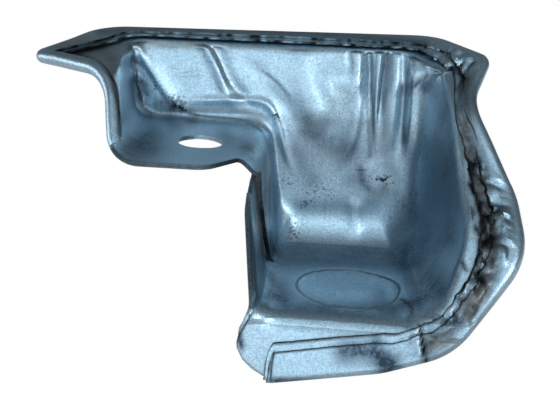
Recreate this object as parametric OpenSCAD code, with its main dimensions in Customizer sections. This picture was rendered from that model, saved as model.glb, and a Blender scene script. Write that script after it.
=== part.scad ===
// Heat shield for an engine's knock sensor: two thin plies of sheet steel, drawn together
// into a deep open pan and hemmed by folding both of them back over the concave side.
// Frame: the origin is the centre of the bolt hole, on the upper face of the bolting shelf.
// X runs to the right along the shield, Y away from its open side and Z up, along the bolt.

/* [Sheet] */
// Thickness of each of the two plies
ply_t = 0.4; // [0.3:0.05:0.5]
// Air left between the two plies
ply_gap = 0.05; // [0.03:0.01:0.08]

/* [Bolting shelf] */
// Diameter of the bolt hole
hole_d = 9; // [6:0.5:12]
// From the hole to the left wall
shelf_left = 14.6; // [12:0.2:20]
// From the hole to the step wall
shelf_right = 12.7; // [11:0.1:18]
// From the hole to the back wall
shelf_back = 17.7; // [14:0.1:24]
// From the hole to the front edge
shelf_front = 16.6; // [14:0.2:24]
// How far the front edge steps back beside the step wall
notch_d = 7.5; // [4:0.5:9]

/* [Pan] */
// Height of the back wall above the shelf
wall_h = 16.2; // [13:0.2:22]
// Drop from the shelf to the floor
step_h = 27; // [22:0.5:34]
// Width of the floor, from the step wall to the right wall
floor_w = 34; // [28:0.5:42]
// From the line of the hole to the floor's front bend
floor_front = 20; // [16:0.5:24]
// Radius where the floor turns up into the back wall
heel_r = 9; // [6:0.5:10]
// Radius of the corner where the floor turns up into the right wall
corner_r = 9; // [6:0.5:12]
// Outward draft of the right wall between the back wall and its front bend
right_draft = 6; // [3:0.5:9]
// How far the back wall leans back at its top
back_lean = 2.4; // [0:0.2:4]
// Depth of the right wall where it meets the top
top_depth = 8; // [5:0.5:11]

/* [Flanges] */
// Width of the front flange under the floor
front_flange_w = 12.8; // [11:0.2:17]
// Width of the flange up the right side
side_flange_w = 9.5; // [9:0.5:13]
// Width of the flange behind the top edge
top_flange_w = 7.5; // [7:0.25:10]
// Forward slope of the front flange, in degrees from upright
flange_slope = 14; // [5:1:25]
// Reach of the pointed lip beyond the left wall
lip_reach = 15.5; // [12:0.5:19]
// Radius of the bends between walls and flanges
bend_r = 3; // [2:0.25:3.5]

/* [Hem] */
// Length of sheet that each hem folds back
hem_len = 9.1; // [7:0.1:9.6]
// Inner radius of the hem's fold
hem_r = 0.2; // [0.15:0.05:0.3]
// Height of the waves along the hem's free edge
hem_wave = 0.25; // [0:0.05:0.4]

/* [Left tab] */
// Air between the step wall's torn edge and the tab that passes outside it
tab_gap = 0.1; // [0.05:0.05:0.6]
// How far the tab runs back past the torn edge
tab_lap = 5; // [3:0.5:7]
// Reach of the rounded ear below the tab
ear_reach = 4.5; // [3:0.25:5.5]

/* [Emboss] */
// Diameter of the round dish pressed into the floor
dish_d = 20.6; // [14:0.2:22]
// Depth of the dish
dish_h = 0.8; // [0.4:0.1:1.2]
// From the step wall to the middle of the dish
dish_from_step = 16.5; // [14:0.5:20]
// From the line of the hole forward to the middle of the dish
dish_forward = 4.6; // [3:0.2:8]

/* [Draw folds] */
// Height scale of the folds drawn into the back wall
fold_h = 1; // [0:0.1:1.4]

/* [Hidden] */

// The perimeter is read by one number, w. It runs from 0 at the tip of the lip down the left
// wall, along the shelf, down the step wall, along the floor and up the right wall to 6, and
// on the upper side from 0 back along the top edge to -6, which is the same place as 6.
w_end = 6;
w_tab_top = 3.12;
w_tear_end = 4.1;
w_hem_left = 1.84;
w_hem_cut = 4.12;

// Heights and places that follow from the driving dimensions
step_x = shelf_right + 1.8;
right_x = step_x + floor_w;
top_z = wall_h;
floor_z = -step_h;
ridge_h = 4.4;
front_y = -shelf_front;
heel_y = shelf_back;
lip_x = -shelf_left - 2.8 - lip_reach;
slope_y = sin(flange_slope);
slope_z = cos(flange_slope);
rim_z = floor_z - front_flange_w * slope_z;
rim_y = -floor_front - front_flange_w * slope_y;
side_x = right_x + right_draft;
corner_top = [side_x - 6, shelf_back - top_depth, top_z - 1.6];
tab_set = 2 * ply_t + ply_gap + tab_gap;
drill_h = 6;

// Knots of the guide lines: place along the perimeter, point, and radius of the corner there.
// The spine runs along the back wall, between the upper and the lower side.
SPINE = [
    [0, [-shelf_left + 1.5, heel_y, top_z - 8.5], 0],
    [0.6, [-shelf_left + 3.2, heel_y, ridge_h + 1.8], 1],
    [2, [-shelf_left + 6, heel_y, ridge_h], 2],
    [3, [shelf_right + 2.2, heel_y, ridge_h], 4],
    [3.7, [step_x + 3.4, heel_y, ridge_h - step_h / 2], 5],
    [5, [right_x - 11, heel_y, ridge_h - step_h / 2], 6],
    [5.5, [right_x - 10, heel_y, ridge_h - 5], 5],
    [6, [right_x - 7, heel_y, top_z - 11], 0]
];
// The heel is where the back wall meets the wall, shelf or floor in front of it
HEEL = [
    [-6.5, [right_x - 9, heel_y, top_z - 2.5], 0],
    [-6, [right_x - 4, heel_y, top_z - 5], 2],
    [-5.2, [right_x - 12, heel_y, top_z - 10], 3],
    [-1, [-shelf_left + 0.6, heel_y, top_z - 6], 1],
    [0, [-shelf_left - 2, heel_y, top_z - 5], 1],
    [1, [-shelf_left - 1.4, heel_y, top_z - 8.5], 1],
    [2, [-shelf_left, heel_y, 0], 4],
    [3, [shelf_right, heel_y, 0], 5],
    [4, [step_x + 2.3, heel_y, floor_z], 4],
    [5, [right_x, heel_y, floor_z], corner_r],
    [6, [right_x - 4, heel_y, top_z - 5], 2],
    [6.5, [right_x - 9, heel_y, top_z - 2.5], 0]
];
// The bend is where that wall turns out into the flange, lip or front edge
low_bend = [right_x - 7, -floor_front - 0.5, floor_z];
mid_bend = [right_x - 0.5, -floor_front + 0.5, floor_z + 3.8];
side_bend = [side_x - 1.5, -floor_front + 5, floor_z + 14.5];
shoulder = [right_x - 6, heel_y, top_z + 0.5];
FRONT_BEND = [
    [4, [step_x - 0.5, -floor_front, floor_z], 4],
    [4.62, low_bend, 4],
    [4.85, mid_bend, 6],
    [5.15, side_bend, corner_r + 3],
    [6, corner_top, 4],
    [6.5, shoulder, 0]
];
BEND = concat([
    [-6.5, side_bend, 0],
    [-6, corner_top, 4],
    [-5.2, shoulder, 8],
    [-1, [-shelf_left - 2.2, heel_y, top_z - 0.3], 3],
    [0, [-shelf_left - 2.8, 6, top_z - 2.2], 3],
    [1, [-shelf_left - 2, -1, top_z - 3], 3],
    [2, [-shelf_left - 0.1, front_y + 10, 0], 4.5],
    [3, [shelf_right - 0.6, front_y + notch_d + 5, 0], 5]
], FRONT_BEND);
// The rim is the outer edge, before the hem is folded
corner_rim = corner_top + [side_flange_w - 1.8, 0, 2.2];
waist_rim = [side_x - 2.2, 1.5, top_z - 6];
side_rim = side_bend + [side_flange_w, -0.5, -2];
bulge_rim = side_rim + [-2, 9.5, 9];
mid_rim = mid_bend + [2, -3.6, -7.6];
low_rim = low_bend + [-4, -3.4, 4.8 - front_flange_w];
shoulder_rim = [right_x - 2, heel_y + top_flange_w - 2, top_z + 1.9];
RIM = [
    [-6.5, waist_rim, 0],
    [-6, corner_rim, 3],
    [-5.2, shoulder_rim, 9],
    [-1, [-shelf_left - 8.5, heel_y + top_flange_w - 2, top_z - 0.4], 9],
    [0, [lip_x, 3, top_z - 2.6], 2.5],
    [1, [-shelf_left - 2.5, -10, top_z - 2.1], 8],
    [2, [-shelf_left - 0.2, front_y - 0.2, 0], 5.5],
    [2.62, [2.4, front_y, 0], 5],
    [2.9, [shelf_right - 4.2, front_y + notch_d, 0], 3],
    [3.12, [shelf_right - 0.9, front_y + notch_d + 0.6, -3.4], 2],
    [6, corner_rim, 3]
];
// Edges of the left tab, from its top down to the floor: front bend line and rim
TAB_BEND = concat([[3.12, [shelf_right - 1.7, -floor_front + 2, -3.8], 0]], FRONT_BEND);
TAB_RIM = [
    [3.12, [shelf_right - 1.6, -floor_front + 1.5, -3.2], 0],
    [3.3, [shelf_right - 1.9, -floor_front - 0.3, -7], 3],
    [3.8, [step_x - 1.9, -floor_front - 1, floor_z], 3],
    [4, [step_x - 1 - ear_reach, -floor_front - 2.5, floor_z - 6.6], 4],
    [4.1, [step_x + 0.4, rim_y, rim_z + 0.4], 5],
    [4.62, low_rim, corner_r + 6],
    [4.88, mid_rim, corner_r + 5],
    [5.2, side_rim, corner_r + 3],
    [5.45, bulge_rim, 12],
    [5.75, waist_rim, 8],
    [6, corner_rim, 3],
    [6.5, shoulder_rim, 0]
];
// Radius of the heel along the perimeter, as places and values
HEEL_R = [[-6, 5], [-5.2, 0.5], [-1, 0.8], [0, 3], [2, 1.6], [3, 2.4], [3.7, 4], [4, heel_r],
    [5, heel_r + 2], [6, 5]];
// Share of the wall behind the tear, from the heel to the bend
TEAR_AT = [[-6, 0.4], [-5, 0.25], [-1, 0.25], [0, 0.4], [2, 0.5],
    [2.8, 0.6], [w_tab_top, 0.96], [w_tear_end, 0.29], [5, 0.3], [6, 0.4]];

// Folds drawn into the back wall: from x, z to x, z, then half width and height
FOLDS = [
    [-1.7, 16, 4.1, 5.5, 1.3, 0.7],
    [0.9, 14.9, 6.7, 4.2, 1.5, -0.5],
    [-14.2, 12.4, -10.9, 8.3, 1.5, 0.6],
    [-10.9, 8.3, -6.5, 2, 1.4, 0.5],
    [3.1, 11.6, 12.8, 8.1, 2.4, -0.5],
    [12.8, 8.1, 20.5, 1.2, 2.4, -0.7],
    [12, 12, 18.8, 2.8, 1.2, 0.4],
    [29, 17, 29.2, 11, 1.4, -0.5],
    [31.2, 16.6, 31.8, 4, 1.3, 0.5],
    [33, 16.8, 34.3, -6.6, 1.2, -0.7],
    [35.1, 17.4, 34.8, -3, 1.1, 0.7],
    [36.6, 16.8, 35.9, 4, 1.1, -0.6],
    [38.3, 15, 38, -4, 1.8, 0.6],
    [41.3, 13, 42, 3, 1.6, -0.6],
    [44, 13, 45, -3, 1.8, 0.5],
    [48.2, 16, 46.3, 12, 1.6, 0.6]
];

function clamp(t) = max(0, min(1, t));
function mix(a, b, t) = a + (b - a) * t;
function unit(v) = v / max(norm(v), 1e-9);
function smooth(t) = let (c = clamp(t)) c * c * (3 - 2 * c);

// Value of a list of places and values at place w
function value_at(list, w, i = 0) =
    i >= len(list) - 2 || w < list[i + 1][0]
        ? mix(list[i][1], list[i + 1][1], clamp((w - list[i][0]) / (list[i + 1][0] - list[i][0])))
        : value_at(list, w, i + 1);

// Length that a corner's arc takes from each of its two sides
function arc_reach(a, p, b, r) =
    let (
        side_a = unit(a - p),
        side_b = unit(b - p),
        half = acos(max(-1, min(1, side_a * side_b))) / 2
    )
    half > 89 ? 0 : min(r / tan(half), 0.46 * min(norm(a - p), norm(b - p)));

// Point on a corner's arc, at distance s before or after the corner
function arc_point(a, p, b, reach, s, side) =
    let (
        side_a = unit(a - p),
        side_b = unit(b - p),
        half = acos(max(-1, min(1, side_a * side_b))) / 2,
        inward = unit(side_a + side_b),
        onward = unit(side_b - side_a),
        turn = (90 - half) * s / reach
    )
    p + inward * reach / cos(half)
        + reach * tan(half) * (side * onward * sin(turn) - inward * cos(turn));

// Point at place w on a line of knots with rounded corners
function knot_before(path, w, i = 0) =
    i >= len(path) - 2 || w < path[i + 1][0] ? i : knot_before(path, w, i + 1);
function path_point(path, w) =
    let (
        i = knot_before(path, w),
        a = path[i],
        b = path[i + 1],
        t = (w - a[0]) / (b[0] - a[0]),
        l = norm(b[1] - a[1]),
        reach_a = i > 0 ? arc_reach(path[i - 1][1], a[1], b[1], a[2]) : 0,
        reach_b = i + 2 < len(path) ? arc_reach(a[1], b[1], path[i + 2][1], b[2]) : 0
    )
    t * l < reach_a ? arc_point(path[i - 1][1], a[1], b[1], reach_a, t * l, 1)
    : (1 - t) * l < reach_b ? arc_point(a[1], b[1], path[i + 2][1], reach_b, (1 - t) * l, -1)
    : mix(a[1], b[1], t);

// Places of the columns round the perimeter, closer together where it turns
function spaced(a, b, n, ends) =
    [for (i = [0:n - 1]) let (t = i / n) mix(a, b, mix(t, smooth(t), ends))];
SIDE = concat(spaced(0, 1, 6, 0.4), spaced(1, 2, 6, 0.7), spaced(2, 3, 8, 0.7),
    spaced(3, w_tab_top, 2, 0), spaced(w_tab_top, w_tear_end, 7, 0.4),
    spaced(w_tear_end, 5, 13, 0.3), spaced(5, 6, 10, 0.4), [w_end]);
half_n = len(SIDE) - 1;
cols = 2 * half_n;
function place(c) = c <= half_n ? SIDE[c] : -SIDE[cols - c];

// Rows along each rib, as shares of its straight and rounded stretches. The tear lies between
// tear_row and the row after it, and the hem starts at rim_row.
BACK = [0, 0.5, 1];
ARC = [0.5, 0];
AHEAD = [0.5, 1];
FLOOR = [0, 0.2, 0.4, 0.6, 0.8, 1];
tear_row = len(BACK) + len(ARC) + len(AHEAD) + len(AHEAD) - 1;
rim_row = tear_row + len(FLOOR) + len(ARC) + len(AHEAD) + len(AHEAD);
TURN = [0, 45, 90, 135, 180];
LAY = [0.5, 1];
last_row = rim_row + len(TURN) - 1 + len(LAY);

// One rib of the pan: it leaves the spine, turns at the heel, and turns again at the bend
function least(share) = max(share, 0.08);
function rib(w) =
    let (
        s = path_point(SPINE, abs(w)),
        h = path_point(HEEL, w),
        b = path_point(BEND, w),
        r = value_at(HEEL_R, w),
        reach = arc_reach(s, h, b, r),
        before = least(reach / norm(h - s)),
        after = least(reach / norm(b - h)),
        tear = max(value_at(TEAR_AT, w), after + 0.04),
        line = [[0, s, 0], [1, h, r], [2, b, 0]],
        v = concat([for (f = BACK) f * (1 - before)], [for (f = ARC) 1 - f * before],
            [for (f = AHEAD) 1 + f * after], [for (f = AHEAD) mix(1 + after, 1 + tear, f)]),
        part = [for (x = v) path_point(line, x)],
        // In front of the tear the sheet goes on as the floor or, beside the step wall, as the tab
        aside = w > w_tab_top && w < w_tear_end ? smooth((w_tear_end - w) / 0.25) : 0,
        lap = w > w_tab_top ? smooth((w_tear_end - 0.3 - w) / 0.3) * tab_lap : 0,
        start = path_point(line, 1 + tear + (w > 2.8 && w < 5 ? 0.02 : 0.06))
            + aside * [-tab_set, 0, -0.5] + [0, lap, 0],
        tab = w > w_tab_top,
        bend = path_point(tab ? TAB_BEND : BEND, w),
        rim = path_point(tab ? TAB_RIM : RIM, w),
        reach_b = arc_reach(start, bend, rim, bend_r),
        before_b = least(reach_b / norm(bend - start)),
        after_b = least(reach_b / norm(rim - bend)),
        front = [[0, start, 0], [1, bend, bend_r], [2, rim, 0]],
        u = concat([for (f = FLOOR) f * (1 - before_b)], [for (f = ARC) 1 - f * before_b],
            [for (f = AHEAD) 1 + f * after_b], [for (f = AHEAD) mix(1 + after_b, 2, f)])
    )
    concat(part, [for (x = u) path_point(front, x)]);

// Height of one fold of the back wall at x, z
function fold_at(f, x, z) =
    let (
        a = [f[0], f[1]],
        along = [f[2], f[3]] - a,
        t = ([x, z] - a) * along / (along * along),
        off = norm([x, z] - a - clamp(t) * along)
    )
    f[5] * exp(-pow(off / f[4], 2)) * smooth((t + 0.12) / 0.3) * smooth((1.12 - t) / 0.3);
function folds_at(x, z, i = 0) =
    i >= len(FOLDS) ? 0 : fold_at(FOLDS[i], x, z) + folds_at(x, z, i + 1);

// The drawn shape: lean and folds of the back wall, and the dish in the floor
dish_x = step_x + dish_from_step;
function drawn(p) =
    let (
        lean = back_lean * pow(clamp((p.z - 2) / (top_z - 2)), 1.3),
        on_wall = smooth((p.y - heel_y + 2.5) / 2) * smooth((heel_y + 1.5 - p.y) / 1.5),
        off_dish = norm([p.x - dish_x, p.y + dish_forward]) * 2 / dish_d,
        on_floor = smooth((floor_z + 1.5 - p.z) / 1) * smooth((p.z - floor_z + 1.5) / 1)
    )
    p + [0, lean - (on_wall > 0 ? on_wall * fold_h * folds_at(p.x, p.z) : 0),
        -dish_h * on_floor * (1 - smooth((off_dish - 0.78) / 0.24)) * (1 - 0.15 * off_dish)];

GRID = [for (c = [0:cols - 1]) [for (p = rib(place(c))) drawn(p)]];

// Which cells of the sheet exist: the tear, the plain edges and the clean ends of the hem
function hemmed(w) = w < w_hem_left || w > w_hem_cut;
function torn(w) = w > w_tab_top - 0.001 && w < w_tear_end - 0.001;
function present(c, r) =
    let (a = (c + cols) % cols, w = place(a), next = place((a + 1) % cols))
    r < 0 || r < tear_row ? true
    : r >= last_row ? false
    : r == tear_row ? !torn(w)
    : r < rim_row ? abs(w - w_tab_top) > 0.001
    : hemmed(w) && hemmed(next);

// Unit normal towards the open side, from the neighbours that belong to the same stretch
function normal_at(c, r) =
    let (
        before = present(c - 1, r) || present(c - 1, r - 1) ? (c + cols - 1) % cols : c,
        after = present(c, r) || present(c, r - 1) ? (c + 1) % cols : c,
        ahead = r < rim_row && (present(c, r) || present(c - 1, r)) ? r + 1 : r,
        back = r == tear_row + 1 && !present(c, tear_row) && !present(c - 1, tear_row) ? r : r - 1
    )
    unit(cross(GRID[c][ahead] - (r == 0 ? GRID[(cols - c) % cols][1] : GRID[c][back]),
        GRID[after][r] - GRID[before][r]));
NORMAL = [for (c = [0:cols - 1]) [for (r = [0:rim_row]) normal_at(c, r)]];

// Point of the face that lies at depth o under the open side's face, the hem included
function face_point(c, r, o, middle) =
    r <= rim_row ? GRID[c][r] - NORMAL[c][r] * o
    : let (
        p = GRID[c][rim_row],
        n = NORMAL[c][rim_row],
        flat = p - GRID[c][rim_row - 1],
        out = unit(flat - n * (flat * n)),
        turned = min(r - rim_row, len(TURN) - 1),
        laid = r - rim_row - turned,
        room = 0.93 * norm(p - GRID[c][rim_row - 4]),
        wave = hem_wave * (sin(place(c) * 900) + sin(place(c) * 2100)),
        width = min(hem_len - PI * (hem_r + middle), room - middle * 3.4) + wave
    )
    p + n * hem_r + (hem_r + o) * (out * sin(TURN[turned]) - n * cos(TURN[turned]))
        - (laid > 0 ? out * width * LAY[laid - 1] : [0, 0, 0]);

// Solid ply between two depths, as one closed mesh
side_points = half_n + 1 + last_row * cols;
function corner_id(c, r, side) =
    let (a = c % cols)
    side * side_points + (r == 0 ? min(a, cols - a) : half_n + 1 + (r - 1) * cols + a);
function strip(c0, r0, c1, r1) =
    let (
        a = corner_id(c0, r0, 0),
        b = corner_id(c1, r1, 0),
        d = corner_id(c0, r0, 1),
        e = corner_id(c1, r1, 1)
    )
    [[a, b, e], [a, e, d]];
function cell_faces(c, r) =
    let (
        n = [for (side = [0, 1]) [for (q = [[0, 0], [1, 0], [1, 1], [0, 1]])
            corner_id(c + q[0], r + q[1], side)]]
    )
    concat(
        [[n[0][0], n[0][1], n[0][2]], [n[0][0], n[0][2], n[0][3]]],
        [[n[1][0], n[1][2], n[1][1]], [n[1][0], n[1][3], n[1][2]]],
        r == 0 || present(c, r - 1) ? [] : strip(c + 1, r, c, r),
        present(c, r + 1) ? [] : strip(c, r + 1, c + 1, r + 1),
        present(c - 1, r) ? [] : strip(c, r, c, r + 1),
        present(c + 1, r) ? [] : strip(c + 1, r + 1, c + 1, r)
    );
module ply(top, bottom) {
    middle = (top + bottom) / 2;
    points = [for (o = [top, bottom]) each concat(
        [for (c = [0:half_n]) face_point(c, 0, o, middle)],
        [for (r = [1:last_row]) for (c = [0:cols - 1]) face_point(c, r, o, middle)])];
    faces = [for (r = [0:last_row - 1]) for (c = [0:cols - 1])
        if (present(c, r)) each cell_faces(c, r)];
    difference() {
        polyhedron(points = points, faces = faces, convexity = 10);
        translate([0, 0, -drill_h / 2]) cylinder(d = hole_d, h = drill_h, $fn = 64);
    }
}

module inner_sheet() {
    color([0.58, 0.66, 0.76]) ply(0, ply_t);
}

module outer_sheet() {
    color([0.46, 0.53, 0.62]) ply(ply_t + ply_gap, 2 * ply_t + ply_gap);
}

inner_sheet();
outer_sheet();
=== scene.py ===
# %% [markdown]
# # A pressed heat shield for a knock sensor
# The real thing is two thin plies of aluminised sheet steel, pressed together in one die into a
# deep open pan, with the rim folded back over itself to hold them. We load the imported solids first:
# they fix the size and the place of everything that follows.

import math

import bmesh
import bpy
import numpy as np
from mathutils import Matrix, Vector, noise
from numpy.linalg import norm


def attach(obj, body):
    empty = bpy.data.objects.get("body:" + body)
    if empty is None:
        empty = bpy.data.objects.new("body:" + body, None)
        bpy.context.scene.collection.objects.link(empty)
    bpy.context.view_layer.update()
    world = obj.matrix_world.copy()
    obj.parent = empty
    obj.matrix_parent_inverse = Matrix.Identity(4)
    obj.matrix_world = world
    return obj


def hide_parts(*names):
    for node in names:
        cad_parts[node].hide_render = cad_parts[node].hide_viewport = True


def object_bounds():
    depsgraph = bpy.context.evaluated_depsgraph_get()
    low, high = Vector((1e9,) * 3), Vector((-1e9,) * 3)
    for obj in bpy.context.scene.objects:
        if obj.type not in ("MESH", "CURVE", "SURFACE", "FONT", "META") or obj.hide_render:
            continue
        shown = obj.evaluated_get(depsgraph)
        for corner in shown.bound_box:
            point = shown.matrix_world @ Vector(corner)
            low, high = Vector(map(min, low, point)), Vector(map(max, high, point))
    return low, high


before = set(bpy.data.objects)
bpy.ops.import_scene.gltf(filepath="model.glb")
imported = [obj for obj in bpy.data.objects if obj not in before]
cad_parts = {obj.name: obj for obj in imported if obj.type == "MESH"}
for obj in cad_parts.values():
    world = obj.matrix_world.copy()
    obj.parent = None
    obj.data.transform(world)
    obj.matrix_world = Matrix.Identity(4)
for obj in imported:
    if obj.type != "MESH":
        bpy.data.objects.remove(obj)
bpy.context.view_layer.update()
MM = 0.001
scene = bpy.context.scene

# %% [markdown]
# ## The camera
# The photograph was taken from in front and above, with the phone turned a little. A camera is an
# object like any other: its matrix holds the right, up and backward directions as columns. Its
# angle of view is that of a 77 mm lens on a 36 mm sensor. The same numbers tell where a point of
# the sheet shows in the picture, and many small dents are known only from there.

# %% Camera
PICTURE = (560, 410)
LENS_PX, SENSOR_MM = 1198.5, 36
NEAR, FAR = 0.01, 20
EYE = Vector((16.43, -227.3, 62.9))
PITCH, ROLL = math.radians(18.25), math.radians(3.6)

ahead = Vector((0, math.cos(PITCH), -math.sin(PITCH)))
level_up = Vector((0, math.sin(PITCH), math.cos(PITCH)))
side = Vector((math.cos(ROLL), 0, 0)) + level_up * math.sin(ROLL)
up = level_up * math.cos(ROLL) - Vector((math.sin(ROLL), 0, 0))


def put_in(name, data):
    """A new object with the given data, linked to the scene."""
    made = bpy.data.objects.new(name, data)
    scene.collection.objects.link(made)
    return made


camera = put_in("camera", bpy.data.cameras.new("camera"))
camera.data.sensor_width = SENSOR_MM
camera.data.lens = LENS_PX / PICTURE[0] * camera.data.sensor_width
camera.data.clip_start, camera.data.clip_end = NEAR, FAR
turn = Matrix((side, up, -ahead)).transposed().to_4x4()
camera.matrix_world = Matrix.Translation(EYE * MM) @ turn
scene.camera = camera
scene.view_settings.view_transform = "Standard"


def in_picture(points):
    """Pixel place of points given in millimetres, an array of any shape ending in 3."""
    away = np.asarray(points) - np.array(EYE)
    depth = away @ np.array(ahead)
    x = PICTURE[0] / 2 + LENS_PX * (away @ np.array(side)) / depth
    y = PICTURE[1] / 2 - LENS_PX * (away @ np.array(up)) / depth
    return np.stack([x, y], axis=-1)


print("bolt hole shows at", in_picture(np.zeros(3)).round(1))

# %% [markdown]
# ## Driving sizes
# These are the sizes of the solid model in millimetres. The dressed plies have to lie where the
# solids lie, so we repeat the same numbers and work the rest out from them.

# %% Driving sizes
PLY, PLY_GAP, HOLE_R = 0.4, 0.05, 4.5
SHELF_LEFT, SHELF_RIGHT, SHELF_BACK, SHELF_FRONT, NOTCH = 14.6, 12.7, 17.7, 16.6, 7.5
WALL_H, STEP_H, FLOOR_W, FLOOR_FRONT = 16.2, 27.0, 34.0, 20.0
HEEL_R, CORNER_R, RIGHT_DRAFT, BACK_LEAN, TOP_DEPTH = 9.0, 9.0, 6.0, 2.4, 8.0
FRONT_W, SIDE_W, TOP_W, SLOPE, LIP_REACH, BEND_R = 12.8, 9.5, 7.5, 14.0, 15.5, 3.0
HEM_LEN, HEM_R, TAB_GAP, TAB_LAP, EAR_REACH = 9.1, 0.2, 0.1, 5.0, 4.5
DISH_D, DISH_H, DISH_FROM_STEP, DISH_FORWARD = 20.6, 0.8, 16.5, 4.6
TAB_TOP, TEAR_END, HEM_LEFT, HEM_CUT = 3.12, 4.1, 1.84, 4.12

step_x = SHELF_RIGHT + 1.8
right_x = step_x + FLOOR_W
top_z, floor_z, ridge_h = WALL_H, -STEP_H, 4.4
front_y, heel_y, lip_x = -SHELF_FRONT, SHELF_BACK, -SHELF_LEFT - 2.8 - LIP_REACH
rim_z = floor_z - FRONT_W * math.cos(math.radians(SLOPE))
rim_y = -FLOOR_FRONT - FRONT_W * math.sin(math.radians(SLOPE))
side_x = right_x + RIGHT_DRAFT
tab_set = 2 * PLY + PLY_GAP + TAB_GAP
print("floor", floor_z, "rim of the front flange", round(rim_z, 1))

# %% [markdown]
# ## Guide lines
# A die maker draws such a pan with a few lines that run all the way round: the heel, where the back
# wall turns into the shelf, floor and side walls; the bend, where those turn out into the flange;
# and the rim. Each line here is a row of knots: a place along the perimeter, a point, and the
# radius of the corner. Places run from 0 at the tip of the lip, down and round to 6 at the top right
# corner, and from 0 along the top edge to -6 at the same corner.

# %% Knots of the guide lines
corner_top = np.array([side_x - 6, SHELF_BACK - TOP_DEPTH, top_z - 1.6])
low_bend = np.array([right_x - 7, -FLOOR_FRONT - 0.5, floor_z])
mid_bend = np.array([right_x - 0.5, -FLOOR_FRONT + 0.5, floor_z + 3.8])
side_bend = np.array([side_x - 1.5, -FLOOR_FRONT + 5, floor_z + 14.5])
shoulder = np.array([right_x - 6, heel_y, top_z + 0.5])
corner_rim = corner_top + [SIDE_W - 1.8, 0, 2.2]
waist_rim = np.array([side_x - 2.2, 1.5, top_z - 6])
side_rim = side_bend + [SIDE_W, -0.5, -2]
bulge_rim = side_rim + [-2, 9.5, 9]
mid_rim = mid_bend + [2, -3.6, -7.6]
low_rim = low_bend + [-4, -3.4, 4.8 - FRONT_W]
shoulder_rim = np.array([right_x - 2, heel_y + TOP_W - 2, top_z + 1.9])

SPINE = [
    (0, [-SHELF_LEFT + 1.5, heel_y, top_z - 8.5], 0),
    (0.6, [-SHELF_LEFT + 3.2, heel_y, ridge_h + 1.8], 1),
    (2, [-SHELF_LEFT + 6, heel_y, ridge_h], 2),
    (3, [SHELF_RIGHT + 2.2, heel_y, ridge_h], 4),
    (3.7, [step_x + 3.4, heel_y, ridge_h - STEP_H / 2], 5),
    (5, [right_x - 11, heel_y, ridge_h - STEP_H / 2], 6),
    (5.5, [right_x - 10, heel_y, ridge_h - 5], 5),
    (6, [right_x - 7, heel_y, top_z - 11], 0),
]
HEEL = [
    (-6.5, [right_x - 9, heel_y, top_z - 2.5], 0),
    (-6, [right_x - 4, heel_y, top_z - 5], 2),
    (-5.2, [right_x - 12, heel_y, top_z - 10], 3),
    (-1, [-SHELF_LEFT + 0.6, heel_y, top_z - 6], 1),
    (0, [-SHELF_LEFT - 2, heel_y, top_z - 5], 1),
    (1, [-SHELF_LEFT - 1.4, heel_y, top_z - 8.5], 1),
    (2, [-SHELF_LEFT, heel_y, 0], 4),
    (3, [SHELF_RIGHT, heel_y, 0], 5),
    (4, [step_x + 2.3, heel_y, floor_z], 4),
    (5, [right_x, heel_y, floor_z], CORNER_R),
    (6, [right_x - 4, heel_y, top_z - 5], 2),
    (6.5, [right_x - 9, heel_y, top_z - 2.5], 0),
]
FRONT_BEND = [
    (4, [step_x - 0.5, -FLOOR_FRONT, floor_z], 4),
    (4.62, low_bend, 4),
    (4.85, mid_bend, 6),
    (5.15, side_bend - [1, 0, 0], CORNER_R + 3),
    (6, corner_top, 4),
    (6.5, shoulder, 0),
]
BEND = [
    (-6.5, side_bend, 0),
    (-6, corner_top, 4),
    (-5.2, shoulder, 8),
    (-1, [-SHELF_LEFT - 2.2, heel_y, top_z - 0.3], 3),
    (0, [-SHELF_LEFT - 2.8, 6, top_z - 2.2], 3),
    (1, [-SHELF_LEFT - 2, -1, top_z - 3], 3),
    (2, [-SHELF_LEFT - 0.1, front_y + 10, 0], 4.5),
    (3, [SHELF_RIGHT - 0.6, front_y + NOTCH + 5, 0], 5),
] + FRONT_BEND
RIM = [
    (-6.5, waist_rim, 0),
    (-6, corner_rim, 3),
    (-5.2, shoulder_rim, 9),
    (-1, [-SHELF_LEFT - 8.5, heel_y + TOP_W - 2, top_z - 0.4], 9),
    (0, [lip_x, 3, top_z - 2.6], 2.5),
    (1, [-SHELF_LEFT - 2.5, -10, top_z - 2.1], 8),
    (2, [-SHELF_LEFT - 0.2, front_y - 0.2, 0], 5.5),
    (2.62, [2.4, front_y, 0], 5),
    (2.9, [SHELF_RIGHT - 4.2, front_y + NOTCH, 0], 3),
    (3.12, [SHELF_RIGHT - 0.9, front_y + NOTCH + 0.6, -3.4], 2),
    (6, corner_rim, 3),
]
TAB_BEND = [(3.12, [SHELF_RIGHT - 1.7, -FLOOR_FRONT + 2, -3.8], 0)] + FRONT_BEND
TAB_RIM = [
    (3.12, [SHELF_RIGHT - 1.6, -FLOOR_FRONT + 1.5, -3.2], 0),
    (3.3, [SHELF_RIGHT - 1.9, -FLOOR_FRONT - 0.3, -7], 3),
    (3.8, [step_x - 1.9, -FLOOR_FRONT - 1, floor_z], 3),
    (4, [step_x - 1 - EAR_REACH, -FLOOR_FRONT - 2.5, floor_z - 6.6], 4),
    (4.1, [step_x + 0.4, rim_y, rim_z + 0.4], 5),
    (4.62, low_rim, CORNER_R + 6),
    (4.88, mid_rim, CORNER_R + 5),
    (5.2, side_rim, CORNER_R + 3),
    (5.45, bulge_rim, 12),
    (5.75, waist_rim, 8),
    (6, corner_rim, 3),
    (6.5, shoulder_rim, 0),
]
HEEL_RADIUS = [(-6, 5), (-5.2, 0.5), (-1, 0.8), (0, 3), (2, 1.6), (3, 2.4), (3.7, 4)]
HEEL_RADIUS += [(4, HEEL_R), (5, HEEL_R + 2), (6, 5)]
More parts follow.
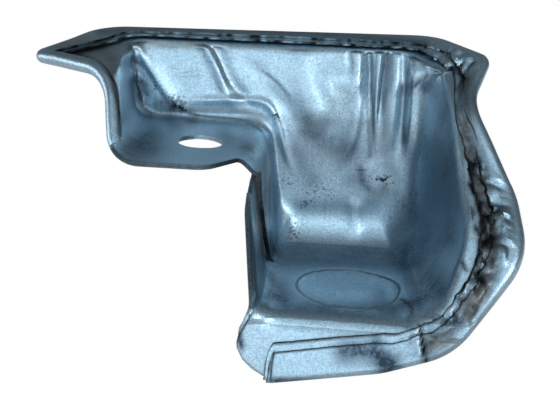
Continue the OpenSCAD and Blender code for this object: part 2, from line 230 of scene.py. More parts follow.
BEND_RADIUS = [(-6, BEND_R), (-5, 1.6), (-1, 1.6), (0, BEND_R), (0.6, 5), (1.6, 5), (2.2, BEND_R)]
BEND_RADIUS += [(4, 4.5), (4.2, 5), (4.7, 5), (5, 4), (5.7, 3.5), (6, BEND_R)]
TEAR_SHARE = [(-6, 0.4), (-5, 0.25), (-1, 0.25), (0, 0.4), (2, 0.5), (2.8, 0.6)]
TEAR_SHARE += [(TAB_TOP, 0.96), (TEAR_END, 0.29), (5, 0.3), (6, 0.4)]
print("guide lines:", len(SPINE), len(HEEL), len(BEND), len(RIM), "knots")

# %% [markdown]
# ## Rounded corners
# A line through knots has sharp corners, and a press tool has none. This helper walks along two
# legs that meet at a corner and swaps the corner for an arc of the wanted radius, which takes at
# most 46% of the shorter leg. It takes a whole row of steps at once, so a rib costs three calls.

# %% Corner helper
LONGEST_SHARE = 0.46
NEARLY_STRAIGHT = math.radians(89)


def unit(v):
    return v / max(norm(v), 1e-9)


def arc_reach(a, p, b, radius):
    """Length that the arc takes from each leg, and half the angle between the legs."""
    half = math.acos(max(-1, min(1, unit(a - p) @ unit(b - p)))) / 2
    longest = LONGEST_SHARE * min(norm(a - p), norm(b - p))
    if half > NEARLY_STRAIGHT:
        return 0.0, half
    return min(radius / math.tan(half), longest), half


def round_corner(a, p, b, radius, t):
    """Points on the legs a to p (t from 0 to 1) and p to b (t from 1 to 2), corner rounded."""
    a, p, b = (np.asarray(x, float) for x in (a, p, b))
    t = np.asarray(t, float)[:, None]
    line = np.where(t < 1, a + (p - a) * t, p + (b - p) * (t - 1))
    reach, half = arc_reach(a, p, b, radius)
    if reach <= 0:
        return line
    leg = np.where(t < 1, norm(p - a), norm(b - p))
    off = np.abs(t - 1) * leg
    inward, onward = unit(unit(a - p) + unit(b - p)), unit(unit(b - p) - unit(a - p))
    angle = (math.pi / 2 - half) * off / reach
    sign = np.where(t < 1, -1, 1)
    swing = sign * onward * np.sin(angle) - inward * np.cos(angle)
    arc = p + inward * reach / math.cos(half) + reach * math.tan(half) * swing
    return np.where(off < reach, arc, line)


def along(path, w):
    """Point at place w on a guide line."""
    i = max(k for k in range(len(path) - 1) if k == 0 or w >= path[k][0])
    (wa, a, ra), (wb, b, rb) = path[i], path[i + 1]
    a, b, t = np.asarray(a, float), np.asarray(b, float), (w - wa) / (wb - wa)
    length = norm(b - a)
    if i > 0:
        before = np.asarray(path[i - 1][1], float)
        if t * length < arc_reach(before, a, b, ra)[0]:
            return round_corner(before, a, b, ra, [1 + t])[0]
    if i + 2 < len(path):
        after = np.asarray(path[i + 2][1], float)
        if (1 - t) * length < arc_reach(a, b, after, rb)[0]:
            return round_corner(a, b, after, rb, [t])[0]
    return a + (b - a) * t


def share_at(table, w):
    """Value at place w of a table of (place, value) rows, straight lines in between."""
    at, values = zip(*table)
    return float(np.interp(w, at, values))


print("lip tip", along(RIM, 0).round(1), "ear", along(TAB_RIM, 4).round(1))

# %% [markdown]
# ## Where the ribs and rows of the blank lie
# The blank is a plain grid. Its columns become the ribs of the pan, packed closer where the rim
# turns or crumples, and its rows run from the spine on the back wall out to the rim. The step wall
# is torn from the flange in front of it, so one row of cells is left out there later.

# %% Columns and rows
COUNTS = [(0, 1, 26), (1, 2, 24), (2, 3, 34), (3, TAB_TOP, 5), (TAB_TOP, TEAR_END, 30)]
COUNTS += [(TEAR_END, 4.2, 12), (4.2, 4.62, 30), (4.62, 5, 28), (5, 6, 86)]
lower = np.concatenate([np.linspace(a, b, n, endpoint=False) for a, b, n in COUNTS] + [[6]])
places = np.concatenate([lower, -lower[-2:0:-1]])
cols = len(places)

BACK = np.linspace(0, 1, 17)
INTO = np.linspace(0.8, 0, 5)
OUT_OF = np.linspace(0.2, 1, 5)
WALL = np.linspace(0, 1, 6)[1:]
FLOOR = np.linspace(0, 1, 15)
FLANGE = np.linspace(0, 1, 13)[1:]
TURN = np.radians(np.linspace(0, 180, 8)[1:])
LAY = np.array([0.1, 0.2, 0.3, 0.4, 0.5, 0.6, 0.7, 0.8, 0.88, 0.96, 1])
tear_row = len(BACK) + len(INTO) + len(OUT_OF) + len(WALL) - 1
rim_row = tear_row + len(FLOOR) + len(INTO) + len(OUT_OF) + len(FLANGE)
last_row = rim_row + len(TURN) + len(LAY)
print(cols, "ribs,", last_row + 1, "rows, tear after row", tear_row, "and rim at", rim_row)

# %% [markdown]
# ## One rib
# Each rib leaves the spine, turns at the heel, runs forward, turns again at the bend and ends at
# the rim. Beside the step wall the front half of the rib is the tab, which is set off to the left
# so that it passes outside the torn edge, and eased back where the slit ends. Every corner gets at
# least 8% of its legs, so that no row of the grid is squeezed to nothing. One function makes both
# halves of a rib, behind the tear and in front of it.

# %% Ribs
LEAST_ROUND = 0.08
TEAR_STEP, TIGHT_TEAR_STEP = 0.03, 0.004
SLIT_END, LAP_END, SLIT_EASE = TEAR_END - 0.1, TEAR_END - 0.15, 0.15


def smooth(t):
    """0 below 0, 1 above 1, and a soft ramp in between."""
    t = np.clip(t, 0, 1)
    return t * t * (3 - 2 * t)


def half_rib(a, p, b, radius, first, last, end):
    """A rib from a, round the corner p and on towards b, and the share of that leg it covers."""
    reach, _ = arc_reach(a, p, b, radius)
    before, after = (max(reach / norm(leg), LEAST_ROUND) for leg in (p - a, b - p))
    end = max(end, after + LEAST_ROUND / 2)
    steps = [first * (1 - before), 1 - INTO * before, 1 + OUT_OF * after]
    steps += [1 + after + last * (end - after)]
    return round_corner(a, p, b, radius, np.concatenate(steps)), end


def rib(w):
    """Every point of the rib at place w, from the spine to the rim."""
    spine, heel, bend = along(SPINE, abs(w)), along(HEEL, w), along(BEND, w)
    radius = share_at(HEEL_RADIUS, w)
    behind, tear = half_rib(spine, heel, bend, radius, BACK, WALL, share_at(TEAR_SHARE, w))
    on_tab = w > TAB_TOP
    aside = smooth((SLIT_END - w) / SLIT_EASE) if on_tab else 0
    lap = smooth((LAP_END - w) / SLIT_EASE) * TAB_LAP if on_tab else 0
    skip = TIGHT_TEAR_STEP if 2.8 < w < 4.4 else TEAR_STEP
    start = round_corner(spine, heel, bend, radius, [1 + tear + skip])[0]
    start = start + aside * np.array([-tab_set, 0, -0.5]) + [0, lap, 0]
    bend, rim = along(TAB_BEND if on_tab else BEND, w), along(TAB_RIM if on_tab else RIM, w)
    in_front, _ = half_rib(start, bend, rim, share_at(BEND_RADIUS, w), FLOOR, FLANGE, 1)
    return np.concatenate([behind, in_front])


def noise_at(points, size, seed):
    """Smooth noise from -1 to 1 at each point, with lumps of the given size in millimetres."""
    flat_points = points.reshape(-1, 3) / size + seed
    return np.array([noise.noise(Vector(p)) for p in flat_points]).reshape(points.shape[:-1])


sheet = np.array([rib(w) for w in places])
print("sheet measures", np.ptp(sheet, (0, 1)).round(1), "mm")

# %% [markdown]
# ## Lines seen in the picture
# Folds, creases and dents are strokes: a row of points in the picture, a height in millimetres and
# a half width. We find how far each grid point shows from the stroke, and on which side. A stroke
# that is wider on one side gives a fold with one steep flank, as pressed sheet has.

# %% Strokes
FADE = 0.3


def rounded(points):
    """The row of points with its corners cut twice, which leaves a smooth curve."""
    points = np.asarray(points, float)
    for _ in range(2):
        ahead_of = points[:-1] * 0.75 + points[1:] * 0.25
        behind = points[:-1] * 0.25 + points[1:] * 0.75
        middle = np.stack([ahead_of, behind], 1).reshape(-1, 2)
        points = np.concatenate([points[:1], middle[1:-1], points[-1:]])
    return points


def stroke(where, points):
    """Distance in pixels from a row of points, signed by side, and the share run along it."""
    points = rounded(points)
    best = np.full(where.shape[:-1], 1e9)
    signed, share = best.copy(), np.zeros_like(best)
    leg = norm(np.diff(points, axis=0), axis=1)
    start = np.concatenate([[0], np.cumsum(leg)])
    for i, (a, b) in enumerate(zip(points[:-1], points[1:])):
        ab, ap = b - a, where - a
        raw = (ap @ ab) / (ab @ ab)
        t = np.clip(raw, 0, 1)
        off = ap - t[..., None] * ab
        far = norm(off, axis=-1)
        near = far < best
        turn_side = np.sign(ap[..., 0] * ab[1] - ap[..., 1] * ab[0])
        best = np.where(near, far, best)
        signed = np.where(near, far * turn_side, signed)
        share = np.where(near, (start[i] + t * leg[i]) / start[-1], share)
    return signed, share


def fold(where, points, height, *widths):
    """Height of one fold. Its half width in pixels may differ left and right of a stroke drawn down."""
    signed, share = stroke(where, points)
    width = np.where(signed > 0, widths[-1], widths[0])
    ends = smooth(share / FADE + 0.05) * smooth((1 - share) / FADE + 0.05)
    return height * np.exp(-((signed / width) ** 2)) * ends


print("strokes ready")

# %% [markdown]
# ## Pressing a blank
# `bmesh.ops.create_grid` gives a flat grid; two whole numbers on each vertex tell its column and
# row, and we move it to its place on the pan. A first press is only a pattern: its vertex normals
# say which way is out of the metal, and everything that is raised or dented later moves that way.

# %% Blank
HAIR = 0.001


def present(c, r, hem_from=HEM_CUT):
    """Whether the sheet has the cell whose first corner is column c, row r."""
    w, after = places[c % cols], places[(c + 1) % cols]
    if r < tear_row:
        return True
    if r == tear_row:
        return not TAB_TOP - HAIR < w < TEAR_END - HAIR
    if r < rim_row:
        return abs(w - TAB_TOP) > HAIR
    return all(p < HEM_LEFT or p > hem_from for p in (w, after))


def placed(bm):
    """Every vertex of a blank, with its column and row."""
    col_layer, row_layer = bm.verts.layers.int["col"], bm.verts.layers.int["row"]
    return [(v, v[col_layer] % cols, v[row_layer]) for v in bm.verts]


def press(points, hem_from=HEM_CUT):
    """A flat grid with the missing cells cut out, moved to the given points."""
    rows = points.shape[1] - 1
    bm = bmesh.new()
    bmesh.ops.create_grid(bm, x_segments=cols, y_segments=rows, size=1)
    col_layer, row_layer = bm.verts.layers.int.new("col"), bm.verts.layers.int.new("row")
    for v in bm.verts:
        c, r = round((v.co.x + 1) / 2 * cols), round((v.co.y + 1) / 2 * rows)
        v[col_layer], v[row_layer] = c, r
    gone = []
    for f in bm.faces:
        c, r = min(v[col_layer] for v in f.verts), min(v[row_layer] for v in f.verts)
        if not present(c, r, hem_from):
            gone.append(f)
    bmesh.ops.delete(bm, geom=gone, context="FACES")
    for v, c, r in placed(bm):
        v.co = Vector(points[c, r])
    bmesh.ops.remove_doubles(bm, verts=bm.verts, dist=1e-4)
    return bm


print("cells of a blank:", sum(present(c, r) for c in range(cols) for r in range(last_row)))

# %% [markdown]
# ## Which way is out
# Blender works out a normal for every vertex of a mesh. We read them back by column and row, turned
# to the side that the camera sees. A point whose cells were cut out takes its neighbour's normal.


# %% Normals
def normals_of(points):
    """Unit normals towards the open side, for every point of the base sheet."""
    bm = press(points)
    bmesh.ops.recalc_face_normals(bm, faces=bm.faces)
    bm.normal_update()
    towards = sum((f.normal.dot(EYE - f.calc_center_median()) > 0) for f in bm.faces)
    if towards < len(bm.faces) / 2:
        bmesh.ops.reverse_faces(bm, faces=bm.faces)
        bm.normal_update()
    found = np.full(points.shape, np.nan)
    for v, c, r in placed(bm):
        found[c, r] = v.normal
    for c in range(cols):
        for r in np.nonzero(np.isnan(found[c, :, 0]))[0]:
            found[c, r] = found[-c % cols, r] if r == 0 else found[c, r - 1]
    bm.free()
    return found


print("normals ready")

# %% [markdown]
# ## Softer corners
# A drawn corner is never as sharp as the guide lines make it. Averaging each point with its four
# neighbours again and again rounds the corner where the back wall meets the right wall, and a
# little also the lip and the spine above the step. The spine is shared by the ribs above and below
# it, so the neighbour beyond it is the second point of the mirrored rib.

# %% Relax the corners
SOFT_PASSES, SOFT_STEP = 130, 0.8
w_of = places[:, None]
row = np.arange(rim_row + 1)[None, :] + 0 * w_of
bend_first = tear_row + len(FLOOR)
at_right = np.where(w_of > 0, smooth((w_of - 4.75) / 0.4), smooth((-4.6 - w_of) / 0.5))
at_right = at_right + 0.5 * smooth((1.2 - abs(w_of)) / 0.5)
unrelaxed = sheet
soften = at_right * smooth((bend_first - 3 - row) / 8)
at_spine = smooth((0.5 - abs(abs(w_of) - 3.1)) / 0.2) * smooth((6 - row) / 4)
soften = np.maximum(soften, 0.5 * at_spine)
mirror = -np.arange(cols) % cols
for _ in range(SOFT_PASSES):
    before_row = np.concatenate([sheet[mirror, 1:2], sheet[:, :-1]], 1)
    after_row = np.concatenate([sheet[:, 1:], sheet[:, -1:]], 1)
    around = (np.roll(sheet, 1, 0) + np.roll(sheet, -1, 0) + before_row + after_row) / 4
    sheet = sheet + (around - sheet) * soften[..., None] * SOFT_STEP
moved = norm(sheet - unrelaxed, axis=2)
print("points moved by up to", moved.max().round(2), "mm")

# %% [markdown]
# ## Folds of the back wall
# The wall was drawn so deep that it wrinkled. The clearest marks are the crisp S-shaped fold left
# of the middle, the spear-shaped ridge in the left corner, the rounded bead above the shelf that
# turns down beside the step, and the bundle of upright folds on the right, of which one has closed
# on itself.

# %% Back wall
x, y, z = sheet[..., 0], sheet[..., 1], sheet[..., 2]
lean = BACK_LEAN * np.clip((z - 2) / (top_z - 2), 0, 1) ** 1.3
sheet = sheet + lean[..., None] * [0, 1, 0]
normals = normals_of(sheet)
seen = in_picture(sheet)
upright = 1 - smooth((normals[..., 2] - 0.3) / 0.3)
on_wall = smooth((y - heel_y + 10) / 5) * upright
on_wall = on_wall * smooth((-normals[..., 1] - 0.2) / 0.3) * (row < bend_first + 4)

WALL_FOLDS = [
    ([(186, 24), (202, 42), (213, 58), (221, 76), (227, 92), (235, 106), (242, 116)], 0.5, 6, 2.2),
    ([(196, 22), (212, 42), (221, 60), (229, 80), (239, 94), (252, 108), (262, 116)], -0.5, 2.5, 8),
    ([(118, 18), (131, 41), (148, 64), (160, 84), (172, 102), (188, 114)], 0.7, 4, 9),
    ([(120, 28), (133, 62), (140, 84), (146, 104), (160, 120)], -0.5, 4, 6),
    ([(172, 76), (190, 74), (208, 73)], 0.1, 2.5, 3),
    ([(176, 101), (206, 100), (230, 100), (252, 100), (266, 102), (274, 112), (280, 130),
      (286, 154), (296, 178)], 0.5, 4),
    ([(232, 54), (252, 68), (272, 84), (290, 104), (303, 128), (310, 150)], -0.45, 9, 10),
    ([(258, 66), (276, 78), (288, 92), (296, 106)], 0.14, 2, 4),
    ([(292, 40), (304, 70), (313, 98), (322, 136)], 0.5, 14, 13),
    ([(342, 74), (338, 108), (330, 146)], -0.45, 11),
    ([(318, 92), (334, 86), (352, 84), (364, 90)], 0.7, 20),
    ([(346, 24), (348, 46), (350, 66), (350, 80)], -0.22, 3),
    ([(356, 16), (358, 60), (359, 92), (357, 124), (350, 148), (330, 176)], 0.5, 7, 5),
    ([(370, 0), (370, 50), (371, 90), (372, 130), (372, 170)], -0.7, 4.5, 4),
    ([(384, 0), (380, 50), (376, 90), (373, 124), (373, 160)], 0.5, 6, 4),
    ([(398, 0), (388, 48), (383, 70), (380, 98), (378, 132)], -0.7, 1.6, 4.5),
    ([(404, 24), (398, 76), (393, 110), (390, 138), (385, 170)], 0.55, 8, 7),
    ([(404, 30), (404, 76), (403, 106), (399, 146)], -0.7, 5),
    ([(416, 38), (414, 90), (412, 124), (406, 164)], 0.9, 6, 10),
    ([(446, 64), (444, 96), (438, 130), (430, 156)], 0.5, 6, 12),
    ([(450, 56), (438, 68), (422, 92)], 0.35, 5, 6),
    ([(454, 92), (449, 130), (442, 160)], -0.2, 5),
]
raised = sum(fold(seen, *spec) for spec in WALL_FOLDS) * on_wall
print(len(WALL_FOLDS), "folds, from", raised.min().round(2), "to", raised.max().round(2), "mm")

# %% [markdown]
# ## Dish, crease and dents of the floor
# A shallow round dish is pressed into the floor, so the sheet steps down along a circle. A thin
# raised crease runs along the foot of the back wall, over the shelf and down beside the step. A
# pleat runs from the front bend into the floor at the right, where the flange turned the corner
# and the sheet had nowhere to go. Two soft bumps in the bend at the foot of the wall catch the
# side lamp, and faint dents of three sizes keep the flat parts from looking like glass.

# %% Floor and shelf
dish_x = step_x + DISH_FROM_STEP
off_dish = np.hypot(x - dish_x, y + DISH_FORWARD) * 2 / DISH_D
on_floor = smooth(floor_z + 1.5 - z) * smooth(z - floor_z + 1.5)
sunk = DISH_H * on_floor * (1 - smooth((off_dish - 0.9) / 0.12)) * (1 - 0.3 * off_dish**2)
LIP_LINE = [(78, 54), (96, 60), (108, 71), (114, 88), (118, 112), (120, 136)]
PLEAT_LINE = [(402, 300), (410, 304), (413, 312), (408, 322), (404, 330)]
CREASES = [
    ([(168, 106), (188, 114), (206, 118), (225, 120), (240, 121), (252, 126), (260, 136),
      (264, 150), (269, 170), (276, 186), (281, 208)], 0.3, 1.6),
    (PLEAT_LINE, -0.35, 2.5),
    ([(404, 326), (412, 318), (418, 308), (420, 300)], 0.3, 2),
    ([(276, 268), (300, 276), (330, 280)], 0.12, 8),
    ([(284, 206), (284, 224), (284, 244)], 0.5, 7),
    ([(355, 196), (355, 216), (356, 240)], 0.55, 8),
    ([(322, 287), (356, 290), (386, 290)], 0.3, 12, 5),
    ([(476, 190), (471, 222), (466, 252), (458, 276)], 0.5, 6, 5),
    (LIP_LINE, -0.2, 2),
]
raised += sum(fold(seen, *spec) for spec in CREASES) * (row < bend_first + 8)
DENTS = [(0.16, 13, 5), (0.06, 6, 3), (0.03, 3, 8)]
dents = sum(deep * noise_at(sheet, size, seed) for deep, size, seed in DENTS)
sheet = sheet + normals * (raised + dents * (row < bend_first))[..., None]
sheet[..., 2] -= sunk
normals = normals_of(sheet)
print("all folds", raised.min().round(2), "to", raised.max().round(2), "mm; dish", sunk.max().round(2))

# %% [markdown]
# ## The hem
# Both plies are folded back together over the open side of the flange. The fold is a half circle
# round a thin bead, opened a little by the table below. The last point of the flange moves in by
# as much, so the outline stays where the solid has it.

# %% Turn of the hem
ROOM_SHARE = 0.93
bend_row = tear_row + len(FLOOR) + len(INTO)
rim_run = sheet[:, rim_row] - sheet[:, rim_row - 2]
rim_normal = normals[:, rim_row]
outward = rim_run - rim_normal * (rim_run * rim_normal).sum(1, keepdims=True)
outward /= norm(outward, axis=1, keepdims=True)
OPEN_AT = [(-6, 0.2), (-5, 0), (-0.5, 0), (0, 0.2), (0.3, 0.45), (1.8, 0.4), (2, 0), (4.2, 0.05)]
OPEN_AT += [(4.9, 0.2), (5.2, 0.6), (5.8, 0.6), (6, 0.2)]


def at_places(table):
    """The value of a table at every rib."""
    return np.array([share_at(table, w) for w in places])


opened = at_places(OPEN_AT)[:, None]
rim_point = sheet[:, rim_row] - outward * opened
sheet[:, rim_row] = rim_point
room = ROOM_SHARE * norm(rim_point - sheet[:, bend_row], axis=1)
print("room for the hem:", room.min().round(1), "to", room.max().round(1), "mm")

# %% [markdown]
# ## How far the hem lies back
# Past its fold the sheet lies flat for about 8 mm, where the flange has room. The ply behind goes
# round the outside of the fold, so its edge ends short of the other one: those are the two dark
# lines of the photograph, darkened further by painted shade along the free edges. Each table gives
# millimetres by place along the rim: what is added to the width, what the ply behind loses, how high
# the hem crumpled, and how wavy its edge is. At the cut beside the ear the hem is laid straight,
# and its corner is rounded off.

# %% Width of the hem
EXTRA_AT = [(-6, 0.8), (-5.2, 1.1), (-1, 0.9), (-0.5, -1.2), (0, -4.5), (0.3, -9), (1.9, -9), (2, 0)]
EXTRA_AT += [(4.2, -0.4), (4.7, -0.2), (4.95, -0.5), (5.1, -0.9), (5.3, -0.9), (5.45, 0.2)]
EXTRA_AT += [(5.7, 0.3), (6, 0.3)]
SHORTER_AT = [(-6, 0.5), (-1, 0), (2, 0), (4.1, 0.5), (4.7, 0.5), (5, 0.5), (6, 0.5)]
CRUMPLE_AT = [(-6, 1.1), (-5.4, 0.6), (-5, 0.2), (-4, 0.12), (-1, 0.1), (0, 0.03), (4.5, 0.02)]
CRUMPLE_AT += [(4.62, 0.12), (4.8, 0.7), (5.0, 1.4), (5.48, 1.4), (5.58, 0.3), (5.9, 0.3), (6, 1.1)]
EDGE_WAVE_AT = [(-6, 0.8), (-5, 0.5), (-1, 0.35), (0, 0.1), (4.5, 0.1), (4.9, 0.5), (5.5, 0.8)]
EDGE_WAVE_AT += [(5.6, 0.25), (5.9, 0.25), (6, 0.6)]
LEAST_HEM = 1.2
CUT_FROM, CUT_ROUND, CUT_LEAST = 4.0, 0.035, 0.04
straight = smooth((4.45 - places) / 0.2) * (places > CUT_FROM)
leader = outward[np.argmin(abs(places - 4.4))]
run = rim_point[np.argmin(abs(places - 4.5))] - rim_point[np.argmin(abs(places - 4.3))]
leader = leader + 0.3 * run / norm(run)
lay_way = outward + (leader - outward) * straight[:, None]


def hem_width(depth, seed, hem_from):
    """How far the hem of one ply lies back over the flange, in millimetres, at every rib."""
    middle = depth + PLY / 2
    width = np.minimum(HEM_LEN - math.pi * (HEM_R + middle), room - middle * 3.4)
    width = width + at_places(EXTRA_AT)
    if depth > 0:
        width = width - at_places(SHORTER_AT)
    width = np.maximum(width, LEAST_HEM)
    rip = noise_at(rim_point, 2.2, seed) + 0.5 * noise_at(rim_point, 0.8, seed + 9)
    width = width + at_places(EDGE_WAVE_AT) * rip
    corner = np.clip((places - hem_from) / CUT_ROUND, 0, 1)
    rounding = np.sqrt(CUT_LEAST + (1 - CUT_LEAST) * (1 - (1 - corner) ** 2))
    return np.where((places > CUT_FROM) & (places < 4.3), width * rounding, width)


widths = hem_width(0, 3, HEM_CUT)
print("hem from", widths.min().round(1), "to", widths.max().round(1), "mm wide")

# %% [markdown]
# ## Every point of one ply
# The base sheet gives the pan and the flanges, the half circle gives the fold, and the rest is laid
# back over the flange, lifted by the crumples and by a few folds seen in the picture.

# %% Points of a ply
HEM_FOLDS = [
    ([(418, 318), (421, 334), (424, 350), (425, 366)], -0.5, 2.5),
    ([(426, 330), (438, 346)], -0.15, 1.4),
    ([(478, 158), (472, 166), (472, 178)], -0.6, 3),
    ([(478, 210), (490, 214), (502, 211)], -0.7, 3),
    ([(486, 220), (493, 232), (484, 248)], -0.8, 5),
    ([(478, 270), (484, 286)], -0.6, 4),
    ([(498, 210), (504, 240), (500, 280)], 0.4, 3),
    ([(436, 44), (448, 54), (458, 66), (468, 82)], -0.8, 3),
    ([(448, 44), (460, 54), (470, 62), (484, 70)], 0.6, 4),
    ([(462, 82), (470, 66), (478, 60)], -0.6, 2.5),
    ([(470, 84), (474, 100), (474, 120)], 0.5, 4),
]


def ply_points(depth, seed, hem_from):
    """Every point of one ply's upper face, depth millimetres below the base sheet's."""
    points = np.empty((cols, last_row + 1, 3))
    points[:, : rim_row + 1] = sheet - normals * depth
    centre = rim_point + rim_normal * (HEM_R + opened)
    for k, angle in enumerate(TURN):
        arm = outward * math.sin(angle) - rim_normal * math.cos(angle)
        points[:, rim_row + 1 + k] = centre + (HEM_R + opened + depth) * arm
    width, crumple = hem_width(depth, seed, hem_from), at_places(CRUMPLE_AT)
    turned = points[:, rim_row + len(TURN)]
    for k, share in enumerate(LAY):
        laid = turned - lay_way * (width * share)[:, None]
        lump = 0.8 * noise_at(laid, 3.4, 31) + 0.5 * (1 - 3 * abs(noise_at(laid, 2.2, 47)))
        lift = crumple * smooth(share * 1.6) * np.clip(0.35 + lump, 0, 2)
        lift = lift - 2 * opened[:, 0] * smooth(share * 1.2)
        pressed = sum(fold(in_picture(laid), *spec) for spec in HEM_FOLDS)
        points[:, rim_row + len(TURN) + 1 + k] = laid + rim_normal * (lift + pressed)[:, None]
    return points


print("folds pressed into the hem:", len(HEM_FOLDS))

# %% [markdown]
# ## Where it is dirty and where shade is painted
# Where the sheet is darkened, brown, black or speckled is written in the same way as the folds:
# strokes in the picture, each with a half width in pixels and an amount. The specks are dirt. The
# dark strokes are partly tarnish and partly painted shade and painted dark reflection, the brown ones
# partly a stain and partly a painted warm reflection, and the black lines are painted shade along
# free edges, in gaps and in creases. They are sorted by the part that takes them: the pan, the rim
# with its flange and hem, or the hem alone.

# %% Strokes of dirt and painted shade
# Dark strokes: partly tarnish, partly painted shade and painted dark reflection.
TARNISH_AND_SHADE = {"pan": [
    ([(316, 134), (334, 144), (346, 150)], 18, 0.55),
    ([(296, 150), (312, 180)], 10, 0.4),
    ([(352, 180), (366, 182)], 9, 0.4),
    ([(390, 60), (389, 100), (384, 150)], 7, 0.35),
    ([(252, 150), (262, 170), (268, 210)], 9, 0.4),
    ([(226, 136), (246, 144)], 9, 0.35),
    ([(300, 206), (330, 206), (368, 204), (384, 190)], 9, 0.45),
    ([(360, 168), (362, 184), (372, 192)], 4, 0.5),
    ([(370, 46), (370, 90), (372, 130), (370, 156)], 3.5, 0.6),
    ([(384, 46), (381, 66), (378, 96)], 5, 0.35),
    ([(406, 56), (406, 90), (403, 140)], 5, 0.5),
    ([(392, 168), (400, 184), (396, 200)], 8, 0.35),
    ([(430, 62), (446, 70), (456, 90)], 8, 0.3),
    ([(450, 96), (456, 130), (458, 180), (452, 240)], 14, 0.5),
    ([(410, 206), (424, 240), (434, 276)], 22, 0.5),
    ([(262, 190), (266, 220), (270, 250)], 7, 0.75),
    ([(272, 250), (310, 256), (350, 254), (400, 256)], 15, 0.5),
    ([(270, 298), (300, 306), (350, 312), (400, 308), (436, 290)], 9, 0.65),
    ([(272, 268), (278, 284), (284, 300)], 12, 0.4),
    ([(408, 262), (418, 280), (426, 296)], 16, 0.35),
    ([(268, 268), (276, 290)], 9, 0.35),
    ([(438, 84), (442, 130), (446, 176)], 13, 0.35),
    ([(142, 84), (150, 100), (170, 110)], 10, 0.6),
    ([(135, 58), (138, 80), (142, 100), (150, 114)], 4, 0.7),
    ([(190, 110), (250, 110), (266, 124), (273, 150)], 5, 0.3),
    ([(128, 150), (150, 140), (190, 152), (236, 148)], 14, 0.25),
    ([(126, 150), (148, 144)], 14, 0.7),
    ([(122, 70), (124, 100), (124, 130)], 12, 0.15),
    ([(252, 190), (256, 215), (262, 250)], 6, 0.8),
    ([(272, 88), (290, 106), (302, 132)], 6, 0.35),
    ([(262, 150), (268, 180), (270, 204)], 8, 0.45),
    ([(248, 196), (250, 240), (254, 290)], 5, 0.6),
], "rim": [
    ([(346, 352), (366, 350), (380, 358), (392, 368)], 12, 0.85),
    ([(376, 340), (384, 366)], 6, 0.8),
    ([(238, 336), (241, 344)], 4, 0.8),
    ([(276, 380), (330, 380), (380, 376), (420, 370), (450, 355)], 3.5, 0.85),
    ([(500, 200), (508, 236), (500, 270), (470, 320)], 4, 0.3),
    ([(470, 150), (464, 110), (464, 80)], 9, 0.5),
    ([(100, 33), (128, 31), (180, 31), (300, 34), (400, 42), (424, 46)], 5, 0.55),
    ([(462, 80), (466, 100), (464, 130)], 8, 0.35),
    ([(248, 196), (250, 240), (254, 290)], 5, 0.6),
], "hem": [
    ([(426, 348), (460, 322), (484, 284), (492, 240), (484, 200), (474, 160)], 13, 0.75),
]}
# Brown strokes: partly a stain, partly a painted warm reflection.
BROWN_STAIN_AND_REFLECTION = {"rim": [
    ([(60, 48), (90, 46), (112, 56), (120, 80)], 12, 0.6),
    ([(434, 345), (446, 340)], 10, 0.7),
    ([(464, 84), (466, 110), (466, 130), (470, 156)], 9, 0.5),
    ([(112, 62), (116, 90), (118, 130)], 6, 0.4),
], "hem": [
    ([(476, 180), (488, 230), (488, 280), (466, 310)], 10, 0.7),
], "pan": [
    ([(190, 109), (248, 110), (264, 120)], 4, 0.5),
    ([(256, 200), (260, 230)], 5, 0.2),
    ([(130, 44), (200, 45), (300, 46), (350, 48)], 5, 0.7),
]}
# Black lines: painted shade along free edges, in gaps and in creases.
SHADE_LINES = {"rim": [
    ([(419, 326), (421, 336), (424, 350), (425, 364)], 2.2, 1),
    ([(486, 216), (494, 232), (485, 246)], 4, 0.9),
    ([(479, 272), (484, 284)], 3.5, 0.9),
    ([(477, 160), (472, 168), (472, 178)], 3, 0.9),
    ([(274, 352), (271, 366), (271, 379)], 1.6, 0.9),
    ([(448, 54), (454, 64), (462, 76)], 2.5, 0.9),
    ([(462, 84), (467, 70), (474, 64)], 1.6, 0.8),
    ([(470, 184), (474, 192)], 3.5, 0.9),
    ([(480, 208), (490, 214), (500, 212)], 2.5, 0.8),
    ([(476, 228), (482, 238), (480, 252)], 3, 0.8),
    ([(496, 252), (492, 266)], 2, 0.7),
    ([(462, 262), (466, 270)], 2.5, 0.8),
    ([(256, 176), (260, 190), (264, 204)], 4, 0.9),
    (LIP_LINE, 1.5, 0.8),
], "pan": [
    ([(390, 44), (384, 66), (380, 96), (378, 112)], 1.3, 0.7),
    (PLEAT_LINE, 1.8, 0.8),
    ([(174, 106), (186, 111), (196, 116)], 3, 0.6),
    ([(256, 176), (260, 190), (264, 204)], 5, 1),
    (LIP_LINE, 1.5, 0.8),
]}
SPECKS = {"pan": [
    ([(366, 184), (392, 178), (405, 185), (420, 196), (431, 205)], 5, 1),
    ([(282, 186), (300, 196), (330, 198)], 14, 0.6),
    ([(296, 200), (296, 226), (292, 256)], 5, 0.7),
    ([(150, 76), (160, 96), (180, 102)], 11, 0.6),
]}
print("strokes on the pan:", [len(t["pan"]) for t in (TARNISH_AND_SHADE, BROWN_STAIN_AND_REFLECTION, SHADE_LINES, SPECKS)])

# %% [markdown]
# ## Painting the dirt and the shade
# Each stroke leaves a share of the sheet unpainted, and the shares are multiplied, so strokes that
# cross don't add up to more than full. The free edges, the torn edge with the gap beside it, and the
# cut ends of the hem get a painted shade line by their rows and columns. Every vertex keeps the
# results as numbers from 0 to 1, and the material reads them by name.


# %% Paint
def paint(points, strokes):
    """How much of the painted thing there is at each point of the grid, 0 to 1."""
    seen_at, rows = in_picture(points), np.arange(points.shape[1])[None, :]
    on_rim = smooth((rows - bend_first) / 6)
    on_rim = on_rim * ((places < 1.9) | (places > TAB_TOP))[:, None]
    on_part = {"rim": on_rim, "pan": 1 - on_rim, "hem": smooth((rows - rim_row) / 4)}
    left_unpainted = np.ones(points.shape[:2])
    for part, lines in strokes.items():
        for line, width, amount in lines:
            far, _ = stroke(seen_at, line)
            left_unpainted *= 1 - amount * np.exp(-((far / width) ** 2)) * on_part[part]
    return 1 - left_unpainted


